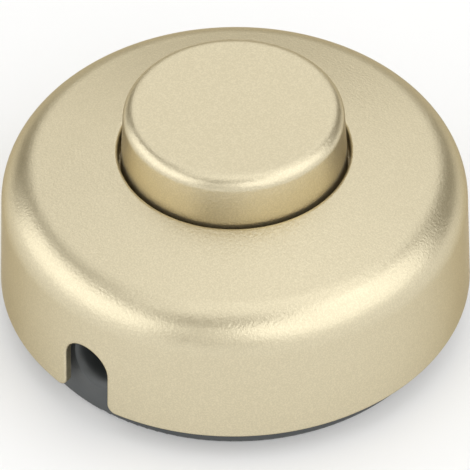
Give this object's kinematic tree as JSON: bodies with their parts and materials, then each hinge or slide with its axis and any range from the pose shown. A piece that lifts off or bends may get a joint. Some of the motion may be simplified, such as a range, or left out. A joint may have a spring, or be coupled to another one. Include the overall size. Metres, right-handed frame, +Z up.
{
  "type": "foot switch",
  "caption": "Round in-line foot switch for a lamp cord, with a domed shell, a large push button and a cord port on two opposite sides.",
  "frame": {"origin": "on the floor, at the centre of the round housing, under its four rubber feet", "axes": "+Z up, along the button's travel; the cord line runs along Y, with the inlet facing -Y and the outlet +Y"},
  "size_m": [0.062, 0.0616, 0.0329],
  "materials": {
    "gold_lacquer": "satin champagne gold lacquer with a fine metallic grain, on a moulded shell",
    "dark_plastic": "dark grey moulded plastic, satin",
    "rubber": "soft black rubber",
    "white_plastic": "off-white moulded plastic",
    "steel": "bright zinc plate",
    "bronze_spring": "rolled phosphor bronze",
    "brass": "machined and stamped brass",
    "silver": "rolled silver contact faces"
  },
  "bodies": {
    "housing": {"cover": "gold_lacquer", "base": "dark_plastic", "rubber_feet": "rubber", "mechanism_cap": "white_plastic", "cord_clamp_in": "white_plastic", "cord_clamp_out": "white_plastic", "pivot_pin": "steel", "pivot_clip": "steel", "return_spring": "steel", "mechanism_screws": "steel", "clamp_screws": "steel", "cover_screws": "steel", "terminal_screws": "steel", "detent_spring": "bronze_spring", "live_in_strip": "brass", "live_out_strip": "brass", "live_in_terminal": "brass", "live_out_terminal": "brass", "neutral_terminal": "brass", "fixed_contacts": "silver"},
    "push_button": {"button": "gold_lacquer", "plunger": "white_plastic"},
    "ratchet_rotor": {"rotor": "white_plastic", "contact_bridge": "brass", "bridge_contacts": "silver"}
  },
  "joints": [
    {"name": "button_press", "type": "slide", "parent": "housing", "child": "push_button", "axis": [0, 0, 1], "range_m": [-0.0035, 0], "stiffness_N_per_m": 1200, "springref_m": 0.004, "deforming": ["return_spring"]},
    {"name": "rotor_turn", "type": "hinge", "parent": "housing", "child": "ratchet_rotor", "pos_m": [0, 0, 0.0054], "axis": [0, 0, 1], "range_deg": [0, 45], "deforming": ["detent_spring"]}
  ],
  "couplings": [
    {"joint": "rotor_turn", "follows": "button_press", "rad_per_m": -224.4}
  ]
}
